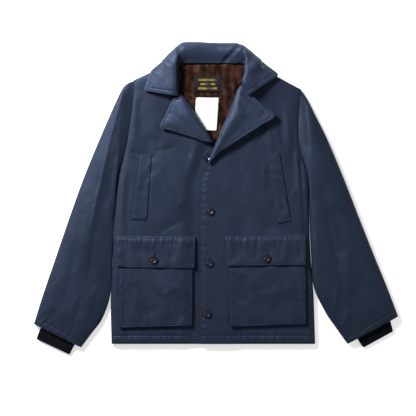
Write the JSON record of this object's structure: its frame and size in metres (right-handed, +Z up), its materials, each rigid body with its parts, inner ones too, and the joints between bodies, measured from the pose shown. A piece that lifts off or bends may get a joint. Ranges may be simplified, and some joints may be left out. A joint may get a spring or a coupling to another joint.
{
  "type": "cotton jacket",
  "caption": "Padded hip-length navy cotton jacket, buttoned and laid flat, with turned lapels, flapped patch pockets, rib cuffs and a brown pile lining.",
  "frame": {"origin": "on the surface that the jacket lies on, under the middle of its bounding box", "axes": "+X to the wearer's left across the shoulders, +Y from hem to collar, +Z up from the surface through the back to the front"},
  "size_m": [0.91, 0.7806, 0.046],
  "materials": {
    "navy_cotton": "smooth tightly woven navy cotton with a soft sheen",
    "navy_rib": "dark navy rib knit",
    "brown_pile": "dark brown pile",
    "button_horn": "glossy dark purple-navy resin",
    "label_woven": "dark woven label",
    "label_tape": "white satin tape"
  },
  "bodies": {
    "root": {"back": "navy_cotton", "front_right": "navy_cotton", "front_left": "navy_cotton", "collar": "navy_cotton", "lapel_right": "navy_cotton", "lapel_left": "navy_cotton", "sleeve_right": "navy_cotton", "sleeve_left": "navy_cotton", "pocket_right": "navy_cotton", "pocket_left": "navy_cotton", "flap_right": "navy_cotton", "flap_left": "navy_cotton", "welt_right": "navy_cotton", "welt_left": "navy_cotton", "cuff_right": "navy_rib", "cuff_left": "navy_rib", "lining": "brown_pile", "label_main": "label_woven", "label_care": "label_tape", "button_front_1": "button_horn", "button_front_2": "button_horn", "button_front_3": "button_horn", "button_front_4": "button_horn", "button_pocket_right": "button_horn", "button_pocket_left": "button_horn"}
  },
  "joints": []
}
